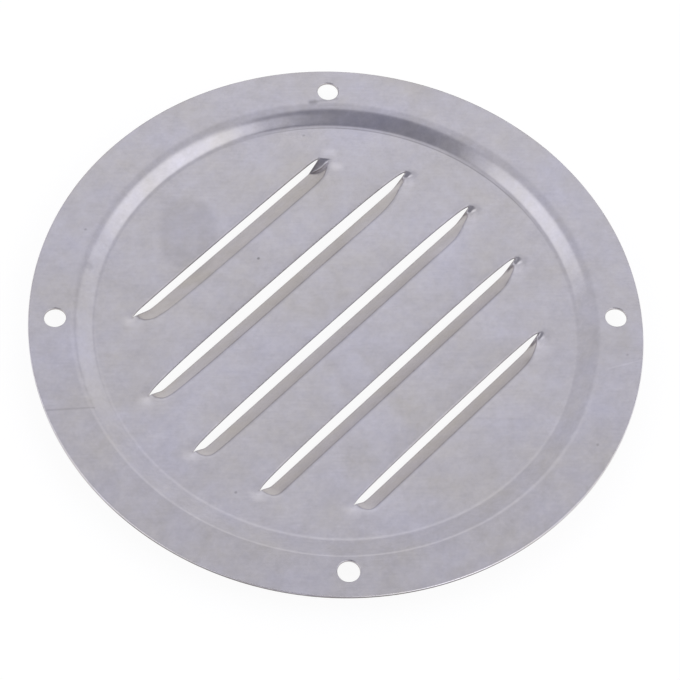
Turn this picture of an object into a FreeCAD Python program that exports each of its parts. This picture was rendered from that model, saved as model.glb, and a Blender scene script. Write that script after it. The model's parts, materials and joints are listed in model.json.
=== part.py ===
"""Round louvred vent cover, pressed in one piece from thin stainless sheet.

A flat flange with screw holes surrounds a round panel that is pressed a little below it.
Straight slits run across the panel, and along one side of each slit the sheet is pressed
down into a hood, so that air passes and rain is shed. The cover is seen and laid as it
comes off the bench: mounting face up, hoods down.

Frame: the origin is the centre of the screw circle on the flange's mounting face, +Z points
out of that face towards the wall, +X runs along the louvres and +Y is the way they open.
All sizes are in millimetres and degrees.
"""

import FreeCAD, Part
import math
import os

# Sheet
sheet_thickness = 0.6

# Flange, pressed wall and panel
outer_diameter = 127.0
flange_width = 8.5
panel_depth = 2.4
wall_angle = 37.0
flange_bend_radius = 3.7
panel_bend_radius = 2.1

# Screw holes
screw_hole_diameter = 4.5
screw_edge_distance = 5.5
screw_hole_count = 4
first_screw_angle = 45.0

# Louvres
louvre_count = 5
louvre_end_margin = 7.5
outer_louvre_margin = 18.5
hood_reach = 4.3
hood_depth = 3.8
hood_bend_radius = 1.0
lip_bow = 0.7

# Worked out from the sizes above
outer_radius = outer_diameter / 2
flange_inner_radius = outer_radius - flange_width
wall_slope = math.radians(wall_angle)
flange_bend_top = flange_bend_radius + sheet_thickness
wall_bend_drop = (flange_bend_top + panel_bend_radius) * (1 - math.cos(wall_slope))
wall_bend_run = (flange_bend_top + panel_bend_radius) * math.sin(wall_slope)
wall_straight = (panel_depth - wall_bend_drop) / math.sin(wall_slope)
panel_radius = flange_inner_radius - wall_bend_run - wall_straight * math.cos(wall_slope)
panel_bottom = -panel_depth - sheet_thickness
screw_circle_radius = outer_radius - screw_edge_distance
louvre_circle_radius = panel_radius - louvre_end_margin
louvre_pitch = 2 * (panel_radius - outer_louvre_margin) / (louvre_count - 1)
hood_slope = math.atan2(hood_depth, hood_reach)
hood_bend_top = hood_bend_radius + sheet_thickness
hood_bend_length = hood_bend_top * math.tan(hood_slope / 2)
hood_width = hood_reach + hood_bend_length

UP = FreeCAD.Vector(0, 0, 1)
UPRIGHT = math.pi / 2
QUARTER_TURN = 90
CUTTER_OVERRUN = 1.0
SAME_POINT = 1e-7


def point(radius, height):
    """A point of an upright section in the XZ plane."""
    return FreeCAD.Vector(radius, 0, height)


def polar(centre, radius, angle):
    """The point of a circle in the XZ plane, with the angle counted from +X towards +Z."""
    return centre + point(radius * math.cos(angle), radius * math.sin(angle))


def arc(centre, radius, start, end):
    """An edge along a circle in the XZ plane between two angles."""
    middle = polar(centre, radius, (start + end) / 2)
    return Part.Arc(polar(centre, radius, start), middle, polar(centre, radius, end)).toShape()


def line(start, end):
    """A straight edge between two points."""
    return Part.LineSegment(start, end).toShape()


def section_face(edges):
    """A face from edges that run round it in order, with straight edges across the gaps."""
    closed = []
    for edge, following in zip(edges, edges[1:] + edges[:1]):
        closed.append(edge)
        here = edge.lastVertex(True).Point
        there = following.firstVertex(True).Point
        if not here.isEqual(there, SAME_POINT):
            closed.append(line(here, there))
    return Part.Face(Part.Wire(closed))


def round_plate():
    """The whole disc before it is pierced: the sheet's half section, turned about the axis."""
    flange_bend = point(flange_inner_radius, -flange_bend_top)
    panel_bend = point(panel_radius, panel_bend_radius - panel_depth)
    panel_bend_bottom = panel_bend_radius + sheet_thickness
    top_of_wall = UPRIGHT + wall_slope
    foot_of_wall = wall_slope - UPRIGHT
    section = section_face([
        arc(flange_bend, flange_bend_top, UPRIGHT, top_of_wall),
        arc(panel_bend, panel_bend_radius, foot_of_wall, -UPRIGHT),
        line(point(0, -panel_depth), point(0, panel_bottom)),
        arc(panel_bend, panel_bend_bottom, -UPRIGHT, foot_of_wall),
        arc(flange_bend, flange_bend_radius, top_of_wall, UPRIGHT),
        line(point(outer_radius, -sheet_thickness), point(outer_radius, 0)),
    ])
    return section.revolve(FreeCAD.Vector(), UP, 360)


def screw_holes():
    """The drills that pierce the flange, evenly spaced on the screw circle."""
    drills = []
    first = point(screw_circle_radius, -sheet_thickness - CUTTER_OVERRUN)
    drill_length = sheet_thickness + 2 * CUTTER_OVERRUN
    for number in range(screw_hole_count):
        turn = FreeCAD.Rotation(UP, first_screw_angle + number * 360 / screw_hole_count)
        drills.append(Part.makeCylinder(screw_hole_diameter / 2, drill_length, turn.multVec(first), UP))
    return drills


def louvre_rows():
    """The Y place and length of each slit: rows at one pitch whose ends lie on a circle."""
    rows = []
    for number in range(louvre_count):
        y = (number - (louvre_count - 1) / 2) * louvre_pitch
        rows.append((y, 2 * math.sqrt(louvre_circle_radius**2 - y**2)))
    return rows


def window(y, length):
    """The sheet that one louvre takes out of the flat panel, as an upright prism.

    Its outline runs along the hood's straight side, a quarter round each end and back along
    the lip, which bows away from the hood because the sheet draws in as it is pressed.
    """
    half = length / 2
    straight = half - hood_width
    corner = hood_width * math.cos(UPRIGHT / 2)

    def at(x, across):
        return FreeCAD.Vector(x, y + across, panel_bottom - CUTTER_OVERRUN)

    outline = Part.Wire([
        line(at(-straight, -hood_width), at(straight, -hood_width)),
        Part.Arc(at(straight, -hood_width), at(straight + corner, -corner), at(half, 0)).toShape(),
        Part.Arc(at(half, 0), at(0, lip_bow), at(-half, 0)).toShape(),
        Part.Arc(at(-half, 0), at(-straight - corner, -corner), at(-straight, -hood_width)).toShape(),
    ])
    return Part.Face(outline).extrude(UP * (sheet_thickness + 2 * CUTTER_OVERRUN))


def hood_section():
    """The hood's section across the slit, in the XZ plane with the slit's edge on the Z axis.

    The sheet bends down from the panel through one arc and runs straight to the slit, where
    it is sheared off square to the panel.
    """
    centre = point(hood_width, -panel_depth - hood_bend_top)
    edge_top = -panel_depth - hood_depth
    edge_bottom = edge_top - sheet_thickness / math.cos(hood_slope)
    return section_face([
        arc(centre, hood_bend_top, UPRIGHT, UPRIGHT + hood_slope),
        line(point(0, edge_top), point(0, edge_bottom)),
        arc(centre, hood_bend_radius, UPRIGHT + hood_slope, UPRIGHT),
    ])


def hood(y, length):
    """One pressed hood: its section run along the slit and turned a quarter round each end."""
    straight = length / 2 - hood_width
    left = FreeCAD.Vector(-straight, y, 0)
    right = FreeCAD.Vector(straight, y, 0)
    section = hood_section()
    section.rotate(FreeCAD.Vector(), UP, -QUARTER_TURN)
    at_left = section.translated(left)
    at_right = section.translated(right)
    return at_left.extrude(right - left).multiFuse([
        at_left.revolve(left, UP, -QUARTER_TURN),
        at_right.revolve(right, UP, QUARTER_TURN),
    ])


def vent_cover():
    """The finished cover: the disc pierced for screws and louvres, with its hoods pressed in."""
    rows = louvre_rows()
    pierced = round_plate().cut(screw_holes() + [window(y, length) for y, length in rows])
    pressed = pierced.multiFuse([hood(y, length) for y, length in rows])
    return pressed.removeSplitter()


def main():
    os.makedirs("parts", exist_ok=True)
    cover = vent_cover()
    cover.exportStep("parts/vent_cover.step")
    box = cover.optimalBoundingBox()
    print(f"vent cover: {len(cover.Solids)} solid, valid {cover.isValid()}, volume {cover.Volume:.1f} mm3")
    print(f"size {box.XLength:.2f} x {box.YLength:.2f} x {box.ZLength:.2f} mm, lowest {box.ZMin:.2f}")
    print(f"panel radius {panel_radius:.2f} mm, hood slope {math.degrees(hood_slope):.1f} degrees")
    for y, length in louvre_rows():
        print(f"louvre at y {y:.1f} mm, {length:.1f} mm long")


main()
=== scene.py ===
# %% [markdown]
# # A round louvred vent cover
#
# The cover is one disc of thin stainless sheet. A press has pushed the middle down into a shallow panel,
# cut slits across it and bent one side of each slit into a sloping hood. This lesson rebuilds that sheet
# as one mesh, gives it a rolled steel finish and lights it with a soft room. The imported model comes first,
# because its size, its screw holes and its place are the frame for everything that follows.

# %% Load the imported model
import json
import math

import bpy
import numpy as np
from mathutils import Matrix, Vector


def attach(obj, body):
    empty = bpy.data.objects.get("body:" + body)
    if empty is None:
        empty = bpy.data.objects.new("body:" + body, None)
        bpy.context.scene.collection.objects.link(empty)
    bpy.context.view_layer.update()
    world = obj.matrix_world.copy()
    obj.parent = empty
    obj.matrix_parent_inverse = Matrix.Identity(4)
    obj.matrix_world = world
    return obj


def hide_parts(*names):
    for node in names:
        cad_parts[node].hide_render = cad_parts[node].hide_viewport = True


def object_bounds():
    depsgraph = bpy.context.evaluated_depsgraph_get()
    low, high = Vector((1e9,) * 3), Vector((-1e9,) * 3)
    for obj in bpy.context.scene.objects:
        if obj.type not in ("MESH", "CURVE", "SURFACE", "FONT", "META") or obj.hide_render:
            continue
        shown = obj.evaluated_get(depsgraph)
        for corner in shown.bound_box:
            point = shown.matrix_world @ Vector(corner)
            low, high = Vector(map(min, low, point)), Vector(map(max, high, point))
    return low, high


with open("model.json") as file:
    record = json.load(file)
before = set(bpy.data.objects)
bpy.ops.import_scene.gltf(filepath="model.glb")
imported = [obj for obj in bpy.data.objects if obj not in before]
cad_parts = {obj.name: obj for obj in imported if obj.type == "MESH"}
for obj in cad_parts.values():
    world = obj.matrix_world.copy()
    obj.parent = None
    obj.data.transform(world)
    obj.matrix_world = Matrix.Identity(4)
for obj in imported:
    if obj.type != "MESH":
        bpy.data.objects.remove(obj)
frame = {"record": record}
cad_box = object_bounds()
MM = 0.001
print("packed box in mm:", np.round(np.array(cad_box) / MM, 2).tolist())

# %% [markdown]
# ## The sizes of the disc
#
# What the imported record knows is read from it: the outer edge from the box, the screw circle and the holes
# from the mount. The sheet, the flange and the depth of the panel are written here once, in millimetres,
# with the same values as in the part's source. All other sizes stand in the step that first needs them.

# %% Sizes in millimetres
screws = frame["record"]["mounts"][0]["dims"]
outer_radius = min(abs(side) for side in (*cad_box[0][:2], *cad_box[1][:2])) / MM
screw_circle_radius = screws["pcd_mm"] / 2
screw_hole_radius = screws["hole_r_mm"]
screw_angles = np.radians([45, 135, 225, 315])
sheet_thickness = 0.6
flange_width = 8.5
panel_depth = 2.4
print("outer radius", round(outer_radius, 2), "screw circle", screw_circle_radius, "hole", screw_hole_radius)

# %% [markdown]
# ## The pressed step, as a function of the radius
#
# Seen along a radius the sheet is a flat flange, a round shoulder, a straight sloping wall, a round root
# and the flat panel. A lathe profile could be drawn by hand, but formulas that meet smoothly give a height
# for any radius, so the same function serves every point of every grid below. The press did not work
# evenly: on one side the wall is steep with soft bends, on the other it is gentler with tighter bends, and
# there the flange droops a little. So slope, bends and droop change smoothly round the cover. The steepness
# comes with the height, because a leaning sheet measures more straight down than across.

# %% The step's sizes and places
flange_inner_radius = outer_radius - flange_width
steep_side = math.radians(37)
wall_slope = math.radians(37)
near_wall_slope = math.radians(27)
shoulder_radius = 4.3
near_shoulder_radius = 0.7
root_radius = 2.1
near_root_radius = 1.8
flange_droop = 0.35


def step_places(slope, shoulder_bend, root_bend):
    """Radii where the shoulder ends, the wall ends and the panel begins, for a slope and its two bends.

    The bends take up their radius times the slope's sine across; the wall makes up the rest of the depth.
    """
    shoulder_end = flange_inner_radius - shoulder_bend * np.sin(slope)
    bend_drop = (shoulder_bend + root_bend) * (1 - np.cos(slope))
    wall_end = shoulder_end - (panel_depth - bend_drop) / np.tan(slope)
    return shoulder_end, wall_end, wall_end - root_bend * np.sin(slope)


shoulder_end, wall_end, panel_radius = step_places(wall_slope, shoulder_radius, root_radius)
print("on the steep side the panel begins at radius", round(float(panel_radius), 2), "mm")


# %% The step's height and steepness
def step_height(radius, angle):
    """Height and steepness of the sheet's upper face at each radius and angle.

    Nearness grows from nought on the steep side to one across from it, as a cosine. Shoulder: a circle
    below the flange. Wall: a straight line. Root: a circle above the panel. Flange: level, less a droop
    that grows towards the rim.
    """
    nearness = (1 - np.cos(angle - steep_side)) / 2
    slope = wall_slope + (near_wall_slope - wall_slope) * nearness
    shoulder_bend = shoulder_radius + (near_shoulder_radius - shoulder_radius) * nearness**2
    root_bend = root_radius + (near_root_radius - root_radius) * nearness**2
    shoulder_end, wall_end, root_end = step_places(slope, shoulder_bend, root_bend)
    in_shoulder = np.clip(flange_inner_radius - radius, 0, flange_inner_radius - shoulder_end)
    in_wall = np.clip(shoulder_end - radius, 0, shoulder_end - wall_end)
    in_root = np.clip(radius - root_end, 0, wall_end - root_end)
    shoulder = np.sqrt(shoulder_bend**2 - in_shoulder**2) - shoulder_bend
    root = root_bend - np.sqrt(root_bend**2 - in_root**2)
    root_height = root_bend * (1 - np.cos(slope))
    height = shoulder - in_wall * np.tan(slope)
    height = np.where(radius >= wall_end, height, height - (root_height - root))
    height -= flange_droop * nearness**2 * np.clip((radius - flange_inner_radius) / flange_width, 0, 1)
    steepness = np.where(radius >= shoulder_end, in_shoulder / (shoulder + shoulder_bend), np.tan(slope))
    steepness = np.where(radius <= wall_end, in_root / (root_bend - root), steepness)
    return height, steepness


probe = np.array([outer_radius, flange_inner_radius, shoulder_end, wall_end, panel_radius, 0])
print("step heights in mm:", np.round(step_height(probe, steep_side)[0], 3).tolist())

# %% [markdown]
# ## A louvre hood, as a function of the place along and across its slit
#
# A hood bends down from the panel and runs straight to the cut edge, where it is deepest. Its left end is
# a full round corner, and on the upper louvres the hood grows slowly wider from there. To the right it
# narrows in a long taper, and the top louvre stops at a steep end wall. A profile could be swept along the
# slit and the ends joined on, but a depth worked out from the place along and across the slit needs no
# joined ends and has no seam. Each louvre came out of the press a little different from its neighbours, so
# the sizes have one value per louvre, counted from the lowest row to the highest.

# %% Places of the slits
louvre_count = 5
louvre_end_margin = 7.5
outer_louvre_margin = 18.5
louvre_circle_radius = panel_radius - louvre_end_margin
louvre_pitch = 2 * (panel_radius - outer_louvre_margin) / (louvre_count - 1)
slit_y = (np.arange(louvre_count) - (louvre_count - 1) / 2) * louvre_pitch
slit_half = np.sqrt(louvre_circle_radius**2 - slit_y**2)
print("slits at y", np.round(slit_y, 2).tolist(), "half lengths", np.round(slit_half, 2).tolist())

# %% Bends and soft turns
turn_softness = 0.2


def bent_section(inside, slope, bend_radius):
    """Depth and steepness at a distance inside a bend line: a circle down to the slope, then straight on."""
    in_bend = np.clip(inside, 0, bend_radius * math.sin(slope))
    bend = bend_radius - np.sqrt(bend_radius**2 - in_bend**2)
    straight = np.clip(inside, 0, None) - in_bend
    return bend + straight * math.tan(slope), in_bend / (bend_radius - bend)


def levelling(ratio):
    """The smaller of a ratio and one, with a soft turn between the two, and never below nought."""
    return np.maximum((1 + ratio - np.sqrt((1 - ratio) ** 2 + turn_softness**2)) / 2, 0)


print("ratios of 0.5, 1 and 2 level to", np.round(levelling(np.array([0.5, 1, 2])), 3).tolist())

# %% Sizes of the hoods, louvre by louvre
hood_width = np.array([4.1, 4.08, 4.33, 4.33, 5.0])
hood_depth = np.array([3.4, 3.4, 3.57, 3.57, 3.6])
hood_bend = np.array([1.2, 1.2, 1.3, 1.3, 1.2])
left_taper = np.array([3.4, 3.4, 3.6, 4.0, 5.5])
left_narrowing = np.array([0.0, 0.0, 0.15, 0.3, 0.34])
right_taper = np.array([6.5, 6.5, 7.5, 8.5, 5.5])
right_rise = np.array([3.6, 3.6, 3.6, 3.6, 0.6])
right_overrun = np.array([0.3, 0.3, 0.3, 0.3, 3.4])
across_sizes = [hood_width, hood_depth, hood_bend]
end_sizes = [left_taper, left_narrowing, right_taper, right_rise, right_overrun]
hood_sizes = np.stack(across_sizes + end_sizes, axis=-1)
print("hoods", hood_width.tolist(), "mm wide and", hood_depth.tolist(), "mm deep")

# %% One hood
slope_rounds = 20
left_corner = 2.6
narrowing_run = 6.0
end_width = 0.1
end_facing = math.radians(37)
end_steepness = 1.7
end_fold = 0.08
draw_in = 0.12
draw_reach = 2.5
draw_run = 6.0


def hood_shape(x, across, half, width, deepest, bend, left, narrowing, right, rise, overrun):
    """Depth and steepness of one hood, at points on the hood's own side of the slit.

    The bend uses up part of the width, so the slope is found by going round a few times. Left half: the
    parts along and across, the second against a width that starts narrow and grows, are joined by a power
    above two, which makes a full round corner. Right half: the hood narrows in a long straight taper while
    its cut edge rises over a shorter run. An end wall leans in from the slit's end, and the smaller of the
    two depths counts, with a soft fold between them. Beside the bend the panel is drawn in a little.
    """
    slope = math.atan2(deepest, width)
    for _ in range(slope_rounds):
        slope = math.atan2(deepest, width - bend * math.tan(slope / 2))
    along_part = 1 - levelling((half + x) / left)
    slender = width * (1 - narrowing * np.exp(-np.maximum(half + x, 0) / narrowing_run))
    reached = (along_part**left_corner + np.abs(across / slender) ** left_corner) ** (1 / left_corner)
    narrowed = np.maximum(levelling((half + overrun - x) / right), end_width)
    reached = np.where(x < 0, reached, np.abs(across) / (width * narrowed))
    depth, lean = bent_section(width * (1 - reached), slope, bend)
    depth = depth * np.where(x < 0, 1, levelling((half + overrun - x) / rise))
    inside_wall = math.cos(end_facing) * (half - x) - math.sin(end_facing) * across
    end_depth = end_steepness * np.maximum(inside_wall, 0)
    at_end = np.maximum(depth + end_depth - np.sqrt((depth - end_depth) ** 2 + end_fold**2), 0) / 2
    depth = np.where((x < 0) | (depth == 0), depth, at_end)
    outside = np.maximum(reached - 1, 0) * width
    depth += draw_in * levelling((half - np.abs(x)) / draw_run) * np.exp(-outside / draw_reach)
    return depth, lean


middle = np.zeros(1)
middle_depth = [
    hood_shape(middle, middle, half, *hood)[0].item() for half, hood in zip(slit_half, hood_sizes)
]
print("depth below the flat panel, at the middle of each cut:", np.round(middle_depth, 2).tolist())

# %% [markdown]
# ## Folds, dimples and lips
#
# At the ends of a slit the press drags the uncut sheet along. That leaves a slanting fold at the right
# end of every louvre but the top one and a small round dimple at every left end, and both catch the
# light. Across from the hood, the lip is pushed back and drawn down a little along its middle. Such forms
# could be sculpted by hand, but bell curves and fading curves of a distance are as soft, and each of them
# has a size that can be measured and set.

# %% Folds and dimples at the slit ends
tip_fold = np.array([1.1, 1.1, 1.1, 1.0, 0.0])
fold_place = (0.85, 0.7)
fold_turn = math.radians(37)
fold_back, fold_front, fold_side = 0.8, 3.0, 1.5
fold_rise = 0.35
left_dimple = 0.3
left_dimple_place = 0.35
dimple_size = 1.3


def dimple_shape(x, across, half, fold):
    """Depth of the dimples at a slit's two ends, each a bell curve of the distance from its middle.

    Right end: a turned fold on the hood's side, steep behind and with a long gentle front. Left end: a
    small round dimple.
    """
    hood_side = 1 - np.exp(-((np.minimum(across, 0) / fold_rise) ** 2))
    along, aside = x - half + fold_place[0], across + fold_place[1]
    rearward = math.cos(fold_turn) * along + math.sin(fold_turn) * aside
    sideways = math.sin(fold_turn) * along - math.cos(fold_turn) * aside
    run = np.where(rearward > 0, fold_back, fold_front)
    folded = hood_side * np.exp(-((rearward / run) ** 2) - (sideways / fold_side) ** 2)
    left_end = np.exp(-((x + half) ** 2 + (across + left_dimple_place) ** 2) / dimple_size**2)
    return fold * folded + left_dimple * left_end


print("folds", tip_fold.tolist(), "mm deep, left dimples", left_dimple, "mm")

# %% Cuts and lips
cut_round = np.array([0.0, 0.15, 0.2, 0.28, 0.3])
cut_run = 0.8
lip_bow = np.array([0.5, 0.76, 0.84, 1.0, 0.32])
lip_offset = 0.36
lip_drop = 0.14
lip_run = 8.0
lip_reach = 2.2


def cut_shape(x, half, offset):
    """How far the cut lies off the line between its ends: it curves away from them, then runs level."""
    return offset * (1 - np.exp(-np.clip(half - np.abs(x), 0, None) / cut_run))


def lip_shape(x, across, half, bow):
    """How far a lip is pushed back and drawn down.

    Full along its middle and none at its ends, by a curve that levels off, and fading with the distance
    from the slit.
    """
    along = 1 - np.exp(-np.clip(half - np.abs(x), 0, None) / lip_run)
    fade = np.exp(-np.maximum(across, 0) / lip_reach)
    return (bow * along + cut_shape(x, half, lip_offset)) * fade, lip_drop * along * fade


print("lips pushed back by", np.round(lip_bow + lip_offset, 2).tolist(), "mm at most")

# %% [markdown]
# ## A grid that follows the slits
#
# A mesh can only be cut cleanly along its own lines, so the grid's rows follow the slits and stand closer
# where the sheet bends. All slit ends lie on one circle. The columns are therefore scaled row by row to
# that circle: a column counts as 1 at the slit ends and as 2 at the grid's edge. Where a slit runs, the
# row's points are doubled: one set belongs to the hood below, the other to the lip above. A boolean cut
# through a plain grid would be quicker to write, but its ragged faces would show in the reflections.

# %% Rows and columns of the panel
def graded(start, *runs):
    """Samples from a start through runs of (end, steps), each run evenly divided."""
    samples = [np.array([start])]
    for end, steps in runs:
        samples.append(np.linspace(samples[-1][-1], end, steps + 1)[1:])
    return np.concatenate(samples)


row_below, row_above = 6.2, 3.0
bend_rows = [(-5.2, 2), (-2.5, 12), (-0.4, 5)]
slit_rows = [(0, 2), (0.5, 3), (row_above, 5)]
rows_around_slit = graded(-row_below, *bend_rows, *slit_rows)
rows_between = graded(row_above, (louvre_pitch - row_below, 5))[1:-1]
slit_in_group = int(np.argmin(np.abs(rows_around_slit)))
group = np.concatenate([rows_around_slit, rows_between])
row_y = np.concatenate([(slit_y[:-1, None] + group).ravel(), slit_y[-1] + rows_around_slit])
slit_row = np.arange(louvre_count) * len(group) + slit_in_group

half_columns = graded(0, (0.8, 20), (0.88, 6), (1, 22), (1.4, 7), (2, 4))
column = np.concatenate([-half_columns[:0:-1], half_columns])
left_end, right_end = np.flatnonzero(np.isclose(np.abs(column), 1))
print(len(row_y), "rows,", len(column), "columns, slits in rows", slit_row.tolist())

# %% Points of the panel
grid_radius = 46.0
end_x = np.sqrt(louvre_circle_radius**2 - row_y**2)[:, None]
edge_x = np.sqrt(grid_radius**2 - row_y**2)[:, None]
reach_in = np.minimum(np.abs(column), 1)
reach_out = np.maximum(np.abs(column) - 1, 0)
panel_x = np.sign(column) * (end_x * reach_in + (edge_x - end_x) * reach_out)
panel_y = np.repeat(row_y[:, None], len(column), axis=1)
row_count, column_count = panel_x.shape
print(panel_x.size, "panel points, out to", round(float(np.hypot(panel_x, panel_y).max()), 2), "mm")

# %% Faces of the panel, opened along the slits
panel_index = np.arange(row_count * column_count).reshape(row_count, column_count)
inside_slit = np.arange(left_end + 1, right_end)
lip_start = row_count * column_count
lip_index = lip_start + np.arange(louvre_count * len(inside_slit)).reshape(louvre_count, -1)
near_row = panel_index[:-1].copy()
near_row[np.ix_(slit_row, inside_slit)] = lip_index
far_row = panel_index[1:]
panel_faces = np.stack([near_row[:, :-1], near_row[:, 1:], far_row[:, 1:], far_row[:, :-1]], axis=-1)
panel_faces = panel_faces.reshape(-1, 4)
lip_x = panel_x[np.ix_(slit_row, inside_slit)]
lip_y = panel_y[np.ix_(slit_row, inside_slit)]
print(len(panel_faces), "panel faces,", lip_x.size, "doubled lip points")

# %% [markdown]
# ## From the panel's edge out to the rim
#
# The points round the panel's grid run on outwards along their own radii, first to the circle where the
# root begins and then over the step and the flange. Every ring has the same number of points, so the two
# grids join without a seam. The rings stand closest in the bends, where the light changes fastest.

# %% Radii of the rings
border = np.concatenate([
    panel_index[:, -1],
    panel_index[-1, -2::-1],
    panel_index[-2::-1, 0],
    panel_index[0, 1:-1],
])
border_x, border_y = panel_x.ravel()[border], panel_y.ravel()[border]
border_radius = np.hypot(border_x, border_y)
border_angle = np.arctan2(border_y, border_x)
hole_margin = 0.75
hole_inner = screw_circle_radius - screw_hole_radius - hole_margin
hole_outer = screw_circle_radius + screw_hole_radius + hole_margin
approach_margin = 1.0
approach = panel_radius - approach_margin
rim_start, rim_end = 62.7, 63.3
outward = graded(0, (1, 5))[1:, None]
approach_radius = border_radius + outward * (approach - border_radius)
bends = graded(approach, (panel_radius, 4), (wall_end, 7), (shoulder_end, 4), (flange_inner_radius, 11))[1:]
hole_rings = [(hole_inner, 1), (hole_outer, 6)]
rim_rings = [(rim_start, 3), (rim_end, 2), (outer_radius, 1)]
flange = graded(flange_inner_radius, *hole_rings, *rim_rings)[1:]
ring_radius = np.concatenate([bends, flange])[:, None] + 0 * border_radius
ring_radius = np.concatenate([approach_radius, ring_radius])
print(len(approach_radius), "rings on the panel,", len(bends), "in the step,", len(flange), "on the flange")

# %% Points and faces of the rings
ring_x = ring_radius * np.cos(border_angle)
ring_y = ring_radius * np.sin(border_angle)
ring_start = lip_start + lip_x.size
ring_index = ring_start + np.arange(ring_x.size).reshape(ring_x.shape)
ring_index = np.concatenate([border[None], ring_index])
after = np.roll(ring_index, -1, axis=1)
ring_faces = np.stack([ring_index[:-1], ring_index[1:], after[1:], after[:-1]], axis=-1)
print(ring_x.shape[0], "rings of", ring_x.shape[1], "points")

# %% [markdown]
# ## The screw holes
#
# A round hole does not fit a grid of rings, so a small window of faces is taken out of the flange at each
# hole. The window's border points move straight towards the hole's centre until they meet its circle,
# which fills the window with faces that end in a clean round edge. A boolean cut would also work, but would
# leave long thin faces.

# %% Windows and collars of the four holes
first_ring = int(np.argmin(np.abs(ring_radius[:, 0] - hole_inner))) + 1
last_ring = int(np.argmin(np.abs(ring_radius[:, 0] - hole_outer))) + 1
window_turn = (screw_hole_radius + hole_margin) / screw_circle_radius
keep = np.ones(ring_faces.shape[:2], bool)
points_x = np.concatenate([panel_x.ravel(), lip_x.ravel(), ring_x.ravel()])
points_y = np.concatenate([panel_y.ravel(), lip_y.ravel(), ring_y.ravel()])
collar_steps = np.array([0.4, 0.75, 1.0])[:, None]
collar_faces = []
for angle in screw_angles:
    centre_x = screw_circle_radius * math.cos(angle)
    centre_y = screw_circle_radius * math.sin(angle)
    turn = (border_angle - angle + math.pi) % (2 * math.pi) - math.pi
    spokes = np.flatnonzero(np.abs(turn) < window_turn)
    spokes = spokes[np.argsort(turn[spokes])]
    keep[np.ix_(range(first_ring, last_ring), spokes[:-1])] = False
    window = np.concatenate([
        ring_index[first_ring:last_ring, spokes[0]],
        ring_index[last_ring, spokes[:-1]],
        ring_index[last_ring:first_ring:-1, spokes[-1]],
        ring_index[first_ring, spokes[:0:-1]],
    ])
    from_x, from_y = points_x[window] - centre_x, points_y[window] - centre_y
    shrink = 1 + collar_steps * (screw_hole_radius / np.hypot(from_x, from_y) - 1)
    start = len(points_x)
    points_x = np.concatenate([points_x, (centre_x + from_x * shrink).ravel()])
    points_y = np.concatenate([points_y, (centre_y + from_y * shrink).ravel()])
    collar = np.arange(start, len(points_x)).reshape(len(collar_steps), -1)
    loops = np.concatenate([window[None], collar])
    onward = np.roll(loops, -1, axis=1)
    collar_quads = np.stack([loops[:-1], onward[:-1], onward[1:], loops[1:]], axis=-1)
    collar_faces.append(collar_quads.reshape(-1, 4))
    print("hole at", round(math.degrees(angle)), "degrees, rim of", len(window), "points")

# %% All faces of the upper side
top_faces = np.concatenate([panel_faces, ring_faces[keep].reshape(-1, 4), *collar_faces])
used, compact = np.unique(top_faces, return_inverse=True)
faces = compact.reshape(-1, 4)
print(len(faces), "faces on the upper side,", len(points_x) - len(used), "unused points dropped")

# %% [markdown]
# ## Pressing the flat grid
#
# Now every point gets its height. The step comes from the radius and the angle, the hoods, folds and lips
# from each slit in turn. A pressed sheet is never quite flat, so long shallow waves are added, less than a
# tenth of a millimetre deep: too little to see as a shape, enough to break up the reflections. They only go
# downwards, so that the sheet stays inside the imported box. At the end the whole set of louvres moves a
# fraction off centre and turns a touch, as on the real cover, while the flange stays where it is.

# %% Press the step and the louvres
press_overlap = 2.0
press_aside = louvre_pitch / 2 + press_overlap
press_beyond = 6.0
on_the_cut = 1e-6
is_lip = np.zeros(len(points_x), bool)
is_lip[lip_index.ravel()] = True
height, steepness = step_height(np.hypot(points_x, points_y), np.arctan2(points_y, points_x))
shift_y = np.zeros_like(points_y)
for y, half, hood, fold, bow, offset in zip(slit_y, slit_half, hood_sizes, tip_fold, lip_bow, cut_round):
    across = points_y - y
    near = (np.abs(across) < press_aside) & (np.abs(points_x) < half + press_beyond)
    on_lip = near & ((across > on_the_cut) | ((np.abs(across) <= on_the_cut) & is_lip))
    on_hood = near & ~on_lip
    depth, lean = hood_shape(points_x, across, half, *hood)
    height -= np.where(on_hood, depth, 0) + np.where(near, dimple_shape(points_x, across, half, fold), 0)
    steepness = np.where(on_hood, np.maximum(steepness, lean), steepness)
    push, drop = lip_shape(points_x, across, half, bow)
    deepest = hood[1]
    hood_push = cut_shape(points_x, half, offset) * depth / deepest
    shift_y += np.where(on_lip, push, np.where(on_hood, hood_push, 0))
    height -= np.where(on_lip, drop, 0)
print("lowest point of the upper face", round(float(height[used].min()), 2), "mm")

# %% Waves, drift and the two skins
wave_depth = 0.06
wave_length = 34.0
wave_slant = 0.4
wave_stretch = 1.3
wave_along = np.sin(2 * np.pi * (points_x + wave_slant * points_y) / wave_length)
wave_across = np.cos(2 * np.pi * points_y / (wave_stretch * wave_length))
height -= wave_depth * (1 + wave_along * wave_across) / 2

louvre_drift = -0.4
louvre_turn = math.radians(0.18)
louvre_fan = math.radians(0.006)
settle_radius = 47.0
settle_power = 40
settled = 1 / (1 + (np.hypot(points_x, points_y) / settle_radius) ** settle_power)
pressed_y = points_y + shift_y
turned = louvre_turn + louvre_fan * points_y
moved_x = points_x + settled * (louvre_drift - louvre_turn * pressed_y)
moved_y = pressed_y + settled * turned * points_x

up = np.array([0, 0, 1.0])
top = np.stack([moved_x, moved_y, height], axis=-1)[used]
bottom = top - up * (sheet_thickness * np.sqrt(1 + steepness[used] ** 2))[:, None]
print("upper face from", round(float(top[:, 2].min()), 2), "to", round(float(top[:, 2].max()), 2), "mm")

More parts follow.
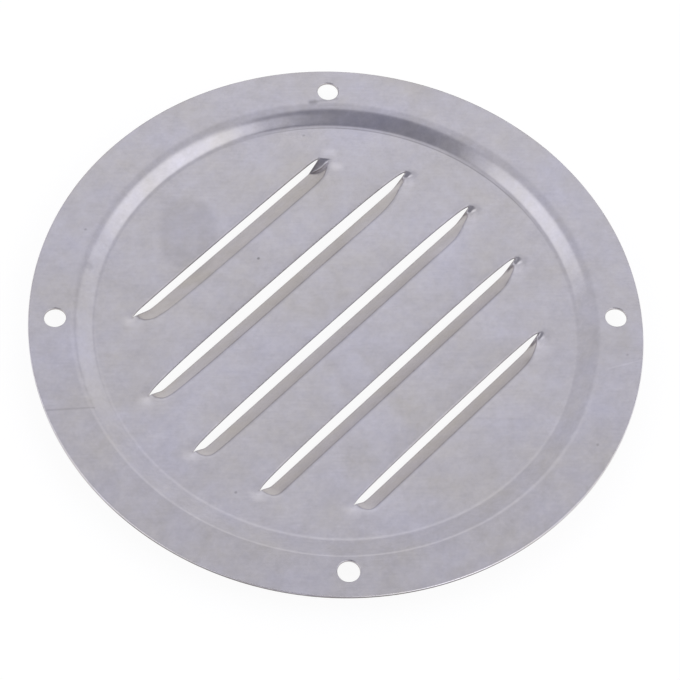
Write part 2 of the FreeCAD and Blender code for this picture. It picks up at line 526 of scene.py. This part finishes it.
# %% [markdown]
# ## The cut edges
#
# The press shears the sheet square, and the upper corner of a sheared edge is drawn over a little. That
# small round is what shows as a bright hairline along the rim and the slits. Every open edge of the grid,
# whether rim, hole or slit, gets the same treatment: the border points step inwards, a rounded corner leads
# over to the cut face, and the cut face runs down to the lower side, which is nearly sharp. A bevel
# modifier could round the corner too, but would treat the lower corner alike.

# %% Borders and their outward directions
smallest = 1e-9
edges = np.stack([faces, np.roll(faces, -1, axis=1)], axis=-1).reshape(-1, 2)
edge_code = edges.min(axis=1) * len(top) + edges.max(axis=1)
_, first_seen, times = np.unique(edge_code, return_index=True, return_counts=True)
open_edges = edges[first_seen[times == 1]]
rim_points, rim_edges = np.unique(open_edges, return_inverse=True)
rim_edges = rim_edges.reshape(-1, 2)
along = top[open_edges[:, 1], :2] - top[open_edges[:, 0], :2]
sideways = np.stack([along[:, 1], -along[:, 0]], axis=-1)
out = np.zeros((len(rim_points), 2))
np.add.at(out, rim_edges[:, 0], sideways)
np.add.at(out, rim_edges[:, 1], sideways)
out /= np.maximum(np.hypot(out[:, 0], out[:, 1]), smallest)[:, None]
out = np.concatenate([out, np.zeros((len(out), 1))], axis=1)
print(len(open_edges), "open edges with", len(rim_points), "points")

# %% Rounded corners and cut faces
corner_round = 0.2
lower_corner = 0.04
corner_angle = np.radians([30, 60, 90])
corner_in = corner_round * (1 - np.sin(corner_angle))
corner_down = corner_round * (1 - np.cos(corner_angle))
rim_top, rim_bottom = top[rim_points].copy(), bottom[rim_points].copy()
wall_rows = [rim_top - out * inward - up * down for inward, down in zip(corner_in, corner_down)]
wall_normals = [out * math.sin(a) + up * math.cos(a) for a in corner_angle]
wall_rows.append(rim_bottom + up * lower_corner)
wall_normals.append(out)
top[rim_points] -= out * corner_round
bottom[rim_points] -= out * lower_corner
print("each open edge gets a wall of", len(wall_rows), "rows")

# %% [markdown]
# ## Putting the sheet together
#
# The upper skin, the lower skin and the walls become one closed mesh. Smooth shading takes one direction
# per point, and averaging over the tiny corner faces would smear the flat faces next to them. So the
# directions are given: each skin's own average on the skins, and the turned directions of the rounded
# corner on the walls. The points of the lower skin also carry an attribute, lower_side, which tells the
# material further on that the marks of the upper face do not belong there.

# %% Points, faces and directions
def skin_normals(points, quads):
    """The direction of a skin at each point: the sum of its faces' area directions, at length one."""
    first_diagonal = points[quads[:, 2]] - points[quads[:, 0]]
    second_diagonal = points[quads[:, 3]] - points[quads[:, 1]]
    face_direction = np.cross(first_diagonal, second_diagonal)
    total = np.zeros_like(points)
    for corner in range(4):
        np.add.at(total, quads[:, corner], face_direction)
    return total / np.maximum(np.linalg.norm(total, axis=1), smallest)[:, None]


count = len(top)
lower_faces = faces[:, ::-1]
wall_index = 2 * count + np.arange(len(wall_rows) * len(rim_points)).reshape(len(wall_rows), -1)
row_index = [rim_points, *wall_index, rim_points + count]
edge_start, edge_end = rim_edges.T
wall_faces = np.concatenate([
    np.stack([here[edge_end], here[edge_start], below[edge_start], below[edge_end]], axis=-1)
    for here, below in zip(row_index[:-1], row_index[1:])
])
all_points = np.concatenate([top, bottom, *wall_rows])
all_faces = np.concatenate([faces, lower_faces + count, wall_faces])
all_normals = np.concatenate([skin_normals(top, faces), skin_normals(bottom, lower_faces), *wall_normals])
all_edges = np.stack([all_faces, np.roll(all_faces, -1, axis=1)], axis=-1).reshape(-1, 2)
_, faces_per_edge = np.unique(np.sort(all_edges, axis=1), axis=0, return_counts=True)
print("edges with other than two faces:", int((faces_per_edge != 2).sum()))

# %% One closed mesh with its own normals
mesh = bpy.data.meshes.new("vent_cover_sheet")
mesh.vertices.add(len(all_points))
mesh.vertices.foreach_set("co", (all_points * MM).astype(np.float32).ravel())
mesh.loops.add(all_faces.size)
mesh.loops.foreach_set("vertex_index", all_faces.astype(np.int32).ravel())
mesh.polygons.add(len(all_faces))
mesh.polygons.foreach_set("loop_start", np.arange(0, all_faces.size, 4, dtype=np.int32))
mesh.polygons.foreach_set("use_smooth", np.ones(len(all_faces), bool))
lower_side = np.zeros(len(all_points), np.float32)
lower_side[count:2 * count] = 1
mesh.attributes.new("lower_side", "FLOAT", "POINT").data.foreach_set("value", lower_side)
mesh.update(calc_edges=True)
mesh.normals_split_custom_set_from_vertices(all_normals.tolist())
sheet = bpy.data.objects.new("vent_cover_sheet", mesh)
bpy.context.scene.collection.objects.link(sheet)
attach(sheet, "root")
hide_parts("vent_cover")
print("one sheet of", len(all_faces) * 2, "triangles")

# %% [markdown]
# ## Helpers for materials
#
# Colours are written as hex values, the way a colour picker shows them, and turned to the linear numbers
# that Blender reckons with. One function adds a node, sets its values and links its inputs, so that a
# material reads as a list.

# %% Colour and node helpers
def colour(hex_code):
    """Linear colour of an sRGB hex code."""
    srgb = np.array([int(hex_code[i:i + 2], 16) for i in (1, 3, 5)]) / 255
    linear = np.where(srgb <= 0.04045, srgb / 12.92, ((srgb + 0.055) / 1.055) ** 2.4)
    return (*linear.tolist(), 1.0)


def node(tree, kind, inputs=None, **settings):
    """Adds a node; an input is set to a value, or linked if it is another node's output."""
    added = tree.nodes.new(kind)
    for name, value in settings.items():
        setattr(added, name, value)
    for key, value in (inputs or {}).items():
        if isinstance(value, bpy.types.NodeSocket):
            tree.links.new(value, added.inputs[key])
        else:
            added.inputs[key].default_value = value
    return added


def per_mm(size):
    """Texture scale at which one feature measures the given millimetres."""
    return 1 / (size * MM)


warm_steel = colour("#C5C1BF")
cool_steel = colour("#C7C5D0")
print("warm and cool steel in linear:", np.round(warm_steel, 3).tolist(), np.round(cool_steel, 3).tolist())

# %% [markdown]
# ## The steel
#
# This is cold-rolled stainless sheet with its mill finish, pickled and lightly rolled after annealing. To
# the eye it is a cool satin grey: soft reflections, very fine lines along the rolling direction and cloudy
# patches from handling. The rolling lines run at 45 degrees to the louvres. Real ones are finer than the
# render can show, so they are drawn about half a millimetre wide. A metal's colour is its reflection, so
# metallic is 1 and the index of refraction is left alone. The patterns could be painted on an image, but
# noise on Object coordinates needs no unwrapping and stays on the sheet from every side.

# %% Clouds, smudges and rolling grain
rolling_angle = math.radians(-45)
cloud_size = 20.0
smudge_size = 4.5
grain_length = 7.0
grain_width = 0.45
vector_math = "ShaderNodeVectorMath"

steel = bpy.data.materials.new("stainless_sheet_mill_finish")
steel.use_nodes = True
tree = steel.node_tree
tree.nodes.clear()
where = node(tree, "ShaderNodeTexCoord").outputs["Object"]
rolled = node(tree, "ShaderNodeMapping", {
    "Vector": where, "Rotation": (0, 0, -rolling_angle),
}).outputs["Vector"]
stretched = node(tree, "ShaderNodeMapping", {
    "Vector": rolled, "Scale": (grain_width / grain_length, 1, 1),
}).outputs["Vector"]
clouds = node(tree, "ShaderNodeTexNoise", {
    "Vector": where, "Scale": per_mm(cloud_size), "Detail": 5.0, "Roughness": 0.68,
}).outputs["Fac"]
smudges = node(tree, "ShaderNodeTexNoise", {
    "Vector": where, "Scale": per_mm(smudge_size), "Detail": 7.0, "Roughness": 0.8,
}).outputs["Fac"]
grain = node(tree, "ShaderNodeTexNoise", {
    "Vector": stretched, "Scale": per_mm(grain_width), "Detail": 3.0, "Roughness": 0.6,
}).outputs["Fac"]
print("steel patterns:", cloud_size, "mm clouds,", smudge_size, "mm smudges,", grain_width, "mm grain")

# %% Tones, roughness and relief of the steel
noise_range = {"From Min": 0.3, "From Max": 0.7}
smudge_strength = 0.1
grain_strength = 0.02
smoothest, roughest = 0.19, 0.26
grain_relief = 0.02
relief_strength = 0.08
cloud_tone = node(tree, "ShaderNodeMapRange", {
    "Value": clouds, **noise_range, "To Min": 0.0, "To Max": 1.0,
}).outputs["Result"]
base = node(tree, "ShaderNodeMix", {
    "Factor": cloud_tone, "A": warm_steel, "B": cool_steel,
}, data_type="RGBA").outputs["Result"]
smudge_tone = node(tree, "ShaderNodeMapRange", {
    "Value": smudges, **noise_range, "To Min": 1 - smudge_strength, "To Max": 1 + smudge_strength,
}).outputs["Result"]
grain_tone = node(tree, "ShaderNodeMapRange", {
    "Value": grain, **noise_range, "To Min": 1 - grain_strength, "To Max": 1 + grain_strength,
}).outputs["Result"]
tones = [smudge_tone, grain_tone]
rough_smudge = node(tree, "ShaderNodeMapRange", {
    "Value": smudges, **noise_range, "To Min": smoothest, "To Max": roughest,
}).outputs["Result"]
grain_height = node(tree, "ShaderNodeBump", {
    "Strength": relief_strength, "Distance": grain_relief * MM, "Height": grain,
}).outputs["Normal"]
print("roughness from", smoothest, "to", roughest)

# %% [markdown]
# ## Marks of use, painted highlights and painted shade
#
# The real sheet carries small marks: dark specks of scale, a dark and a light scratch on the flange, a
# smear of dirt under the far screw hole and a dull patch beside the top louvre. Painted highlights brighten
# the sheet beside the folds and dimples at the slit ends and along the rim's rounded corner, painted shade
# darkens a thin line in the crease at the foot of the step, and the rim's sheared face is dull. Each mark is
# a distance in the sheet's plane, from a line or a circle, turned into a soft edged factor. An image could
# hold them as well, but distances stay sharp at any size. The points of the lower skin are set a metre
# aside, out of reach of every mark.

# %% Distances in the sheet's plane
in_plane = node(tree, "ShaderNodeMapping", {"Vector": where, "Scale": (1, 1, 0)}).outputs["Vector"]
on_lower_side = node(tree, "ShaderNodeAttribute", attribute_name="lower_side").outputs["Fac"]
set_aside = node(tree, "ShaderNodeCombineXYZ", {"Z": on_lower_side}).outputs[0]
flat = node(tree, vector_math, {0: in_plane, 1: set_aside}, operation="ADD").outputs[0]
from_axis = node(tree, vector_math, {0: flat}, operation="LENGTH").outputs["Value"]


def away_from_line(start, end):
    """Distance from the straight line between two places: from the nearest place on it, ends included."""
    first, last = np.array([*start, 0]) * MM, np.array([*end, 0]) * MM
    length = float(np.linalg.norm(last - first))
    along = ((last - first) / length).tolist()
    from_start = node(tree, vector_math, {0: flat, 1: first.tolist()}, operation="SUBTRACT").outputs[0]
    run = node(tree, vector_math, {0: from_start, 1: along}, operation="DOT_PRODUCT").outputs["Value"]
    kept = node(tree, "ShaderNodeClamp", {"Value": run, "Min": 0.0, "Max": length}).outputs["Result"]
    nearest = node(tree, vector_math, {0: along, "Scale": kept}, operation="SCALE").outputs[0]
    return node(tree, vector_math, {0: from_start, 1: nearest}, operation="DISTANCE").outputs["Value"]


def away_from_circle(radius):
    """Distance from a circle round the cover's axis: the radius less the circle's, without its sign."""
    offset = node(tree, "ShaderNodeMath", {0: from_axis, 1: radius * MM}, operation="SUBTRACT").outputs[0]
    return node(tree, "ShaderNodeMath", {0: offset}, operation="ABSOLUTE").outputs[0]


def soft_edge(distance, half_width, softness, amount):
    """A tone of one plus the amount inside a distance and of one outside it, with a soft edge.

    The half width and the softness are in millimetres.
    """
    return node(tree, "ShaderNodeMapRange", {
        "Value": distance, "From Min": half_width * MM, "From Max": (half_width + softness) * MM,
        "To Min": 1 + amount, "To Max": 1.0,
    }, interpolation_type="SMOOTHSTEP").outputs["Result"]


print("the material has", len(tree.nodes), "nodes before its marks")

# %% Specks, scratches and dirt
specks = {
    (29.9, 37.7): -0.2, (0.0, 22.6): -0.45, (-21.6, 52.1): -0.22,
    (14.9, -57.7): -0.2, (35.6, -48.5): -0.16, (-43.2, -12.6): -0.26,
}
speck_size = 0.1
speck_softness = 0.3
for place, amount in specks.items():
    off_speck = away_from_line(place, (place[0] + speck_size, place[1]))
    tones.append(soft_edge(off_speck, speck_size, speck_softness, amount))

# Each mark: its start and end, half width and softness in millimetres, and its amount.
marks = {
    "dull spot on the step": ((-27.2, 45.5), (-27.1, 45.3), 0.4, 0.8, -0.12),
    "dark scratch on the flange": ((-57.1, 26.3), (-50.2, 20.1), 0.06, 0.25, -0.13),
    "light scratch on the flange": ((30.2, -47.8), (36.7, -51.4), 0.05, 0.2, 0.08),
    "dirt under the far hole": ((36.2, 41.6), (36.8, 41.1), 0.15, 0.9, -0.22),
    "tail of the dirt": ((36.2, 41.6), (40.9, 38.3), 0.05, 0.5, -0.15),
    "dull patch beside the top louvre": ((-8.2, 35.2), (-3.8, 39.6), 4.4, 2.6, -0.1),
}
for start, end, half_width, softness, amount in marks.values():
    tones.append(soft_edge(away_from_line(start, end), half_width, softness, amount))
print(len(specks), "specks and", len(marks), "other marks")

# %% Painted highlights at the slit ends
rubbed_size = 0.2
right_ends = np.stack([slit_half, slit_y], axis=-1)
left_ends = np.stack([-slit_half, slit_y], axis=-1)
top_end = right_ends[-1]

# Each painted highlight beside a slit end: its slit end, the offsets of its start and end from there, its
# softness and its amount.
rubbed = [(place, (-2.1, -2.4), (-1.6, -2.0), 1.5, 0.3) for place in right_ends[:-1]]
rubbed.append((top_end, (0.5, -4.0), (0.9, -4.5), 1.5, 0.2))
rubbed.append((top_end, (1.8, 0.2), (2.6, -0.8), 1.5, 0.12))
rubbed += [(place, (-1.7, 0.0), (-1.2, -0.2), 1.6, 0.1) for place in left_ends]
for place, start, end, softness, amount in rubbed:
    tones.append(soft_edge(away_from_line(place + start, place + end), rubbed_size, softness, amount))
print(len(rubbed), "painted highlights")

# %% Painted shade at the foot of the step, and the rim
tool_line_radius = 49.85
tool_line_middle = (46 * MM, 18 * MM, 0)
tool_line_full, tool_line_gone = 20.0, 45.0
tool_line_fade = 0.2

# Half width, softness and amount of the painted shade line, the painted rim highlight and the cut face.
tool_line = (0.05, 0.14, -0.22)
rubbed_corner = (0.07, 0.05, 0.6)
sheared_face = (0.01, 0.02, -0.65)

# Painted shade: a thin dark line in the crease at the foot of the step, full on the far side and fading out
# round the sides.
off_middle = node(tree, vector_math, {0: flat, 1: tool_line_middle}, operation="DISTANCE").outputs["Value"]
line_fade = node(tree, "ShaderNodeMapRange", {
    "Value": off_middle, "From Min": tool_line_full * MM, "From Max": tool_line_gone * MM,
    "To Min": 0.0, "To Max": tool_line_fade * MM,
}).outputs["Result"]
off_line = away_from_circle(tool_line_radius)
off_line = node(tree, "ShaderNodeMath", {0: off_line, 1: line_fade}, operation="ADD").outputs[0]
tones.append(soft_edge(off_line, *tool_line))
# Painted highlight: a bright line along the rim's rounded corner.
tones.append(soft_edge(away_from_circle(outer_radius - corner_round / 2), *rubbed_corner))
tones.append(soft_edge(away_from_circle(outer_radius), *sheared_face))
print("painted shade line at radius", tool_line_radius, "mm, rim tones at", round(outer_radius, 2), "mm")

# %% The finished steel
for tone in tones:
    base = node(tree, vector_math, {0: base, "Scale": tone}, operation="SCALE").outputs[0]
shader = node(tree, "ShaderNodeBsdfPrincipled", {
    "Base Color": base, "Metallic": 1.0, "Roughness": rough_smudge, "Normal": grain_height,
})
node(tree, "ShaderNodeOutputMaterial", {"Surface": shader.outputs["BSDF"]})
sheet.data.materials.append(steel)
print("steel material with", len(tones), "tones and", len(tree.nodes), "nodes")

# %% [markdown]
# ## Floor
#
# The cover lies on a sheet of pale card, resting on the edges of its hoods. White card under strong lamps
# would work, but the cover would be too bright as well. So the card shines by itself: the camera and the
# metal see it nearly white, and a share of ordinary matt shading keeps the cover's shadow.

# %% Pale floor under the hood edges
floor_size = 6.0
floor_level = float(all_points[:, 2].min()) * MM
floor_mesh = bpy.data.meshes.new("floor")
corners = floor_size / 2 * np.array([[-1, -1, 0], [1, -1, 0], [1, 1, 0], [-1, 1, 0]])
floor_mesh.from_pydata((corners + [0, 0, floor_level]).tolist(), [], [[0, 1, 2, 3]])
floor = bpy.data.objects.new("floor", floor_mesh)
bpy.context.scene.collection.objects.link(floor)
print("floor at", round(floor_level / MM, 2), "mm")

# %% Pale card
card_glow = 0.9
card = bpy.data.materials.new("pale_card")
card.use_nodes = True
tree = card.node_tree
tree.nodes.clear()
ray = node(tree, "ShaderNodeLightPath").outputs
matt = node(tree, "ShaderNodeBsdfDiffuse", {"Color": colour("#F2F0EC")}).outputs["BSDF"]
shade = node(tree, "ShaderNodeBsdfDiffuse", {"Color": colour("#6A6A6A")}).outputs["BSDF"]
glow = node(tree, "ShaderNodeEmission", {
    "Color": colour("#FFFFFF"), "Strength": card_glow,
}).outputs["Emission"]
seen_white = node(tree, "ShaderNodeAddShader", {0: glow, 1: shade}).outputs[0]
mirrored = node(tree, "ShaderNodeEmission", {
    "Color": colour("#E3E0DE"), "Strength": 1.0,
}).outputs["Emission"]
by_mirror = node(tree, "ShaderNodeMath", {
    0: ray["Is Glossy Ray"], 1: ray["Is Transmission Ray"],
}, operation="MAXIMUM").outputs[0]
matt_or_mirror = node(tree, "ShaderNodeMixShader", {0: by_mirror, 1: matt, 2: mirrored}).outputs[0]
surface = node(tree, "ShaderNodeMixShader", {
    0: ray["Is Camera Ray"], 1: matt_or_mirror, 2: seen_white,
}).outputs[0]
node(tree, "ShaderNodeOutputMaterial", {"Surface": surface})
floor.data.materials.append(card)
print("card with", len(tree.nodes), "nodes")

# %% [markdown]
# ## Camera
#
# The camera looks down at the mounting side from 58 degrees above the horizon, with a long lens and a
# slight roll. Its place was worked out from the round outline and the four screw holes. A Track To
# constraint could aim it, but the roll is easier to give as three axes in a matrix.

# %% Camera at the photograph's angle
camera_azimuth = math.radians(-52.85)
camera_elevation = math.radians(58.42)
camera_roll = math.radians(6.66)
camera_distance = 517.3
camera_aim = np.array([-3.74, -4.09, 0.0])
back = np.array([
    math.sin(camera_azimuth) * math.cos(camera_elevation),
    -math.cos(camera_azimuth) * math.cos(camera_elevation),
    math.sin(camera_elevation),
])
level = np.array([math.cos(camera_azimuth), math.sin(camera_azimuth), 0.0])
upright = np.cross(back, level)
right = math.cos(camera_roll) * level + math.sin(camera_roll) * upright
upward = -math.sin(camera_roll) * level + math.cos(camera_roll) * upright
camera_place = (camera_aim + camera_distance * back) * MM
camera_axes = np.stack([right, upward, back, camera_place], axis=-1)
camera_data = bpy.data.cameras.new("camera")
camera_data.sensor_width = 36.0
camera_data.lens = 133.55
camera = bpy.data.objects.new("camera", camera_data)
camera.matrix_world = Matrix(np.vstack([camera_axes, [0, 0, 0, 1]]).tolist())
bpy.context.scene.collection.objects.link(camera)
bpy.context.scene.camera = camera
print("camera at", np.round(camera_place, 4).tolist())

# %% [markdown]
# ## Light
#
# Satin metal shows its surroundings, so the surroundings are the light: a pale, slightly cool room with
# soft lighter and darker patches. Lamps would work too, but a reflection is easier to place as a patch in
# the direction where the metal looks. The flat steel mirrors what is high on the far side. The wall of the
# step looks every other way: its far part shows the darker side towards the camera, its flanks the bright
# patches left and right.

# %% A soft patch of the room
world = bpy.data.worlds.new("soft_room")
bpy.context.scene.world = world
world.use_nodes = True
tree = world.node_tree
tree.nodes.clear()
looking = node(tree, "ShaderNodeTexCoord").outputs["Generated"]
to_camera = np.array([back[0], back[1], 0]) / math.hypot(back[0], back[1])


def room_patch(parts, inner, outer, amount):
    """A soft round patch, full inside one angle in degrees and gone outside another.

    Its direction has parts to the picture's right, towards the camera and up. The cosine of the angle off
    that direction is spread between nought and the amount.
    """
    direction = parts[0] * level + parts[1] * to_camera + parts[2] * up
    direction = tuple((direction / np.linalg.norm(direction)).tolist())
    off_axis = node(tree, vector_math, {0: looking, 1: direction}, operation="DOT_PRODUCT").outputs["Value"]
    return node(tree, "ShaderNodeMapRange", {
        "Value": off_axis,
        "From Min": math.cos(math.radians(outer)), "From Max": math.cos(math.radians(inner)),
        "To Min": 0.0, "To Max": amount,
    }, interpolation_type="SMOOTHSTEP").outputs["Result"]


print("the camera side lies towards", np.round(to_camera, 3).tolist())

# %% The whole room
room_level = (0.717, 0.716, 0.762)
room_darkest = (0.02, 0.02, 0.02)
patches = {
    "dark around the camera": room_patch((0.0, 0.6, 0.8), 26, 36, -0.39),
    "dark below the camera": room_patch((0.0, 1.0, 0.1), 10, 32, -0.4),
    "bright at the camera's right": room_patch((0.55, 0.7, 0.45), 8, 32, 0.62),
    "bright on the right": room_patch((0.8, 0.16, 0.58), 8, 34, 0.54),
    "bright on the left": room_patch((-0.8, 0.16, 0.58), 8, 29, 0.5),
    "pale low on the right": room_patch((0.82, -0.52, 0.24), 8, 34, 0.18),
    "pale low on the far side": room_patch((0.4, -0.9, 0.15), 8, 30, 0.08),
    "pale halfway up the far side": room_patch((0.0, -0.75, 0.66), 5, 25, 0.19),
}
light = room_level
for patch in patches.values():
    light = node(tree, vector_math, {0: light, 1: patch}, operation="ADD").outputs[0]
light = node(tree, vector_math, {0: light, 1: room_darkest}, operation="MAXIMUM").outputs[0]
room = node(tree, "ShaderNodeBackground", {"Color": light, "Strength": 1.0}).outputs[0]
white = node(tree, "ShaderNodeBackground", {"Color": colour("#FFFFFF"), "Strength": 1.0}).outputs[0]
seen = node(tree, "ShaderNodeLightPath").outputs["Is Camera Ray"]
mixed = node(tree, "ShaderNodeMixShader", {0: seen, 1: room, 2: white}).outputs[0]
node(tree, "ShaderNodeOutputWorld", {"Surface": mixed})
bpy.context.scene.view_settings.view_transform = "Standard"
print("room with", len(patches), "patches:", ", ".join(patches))
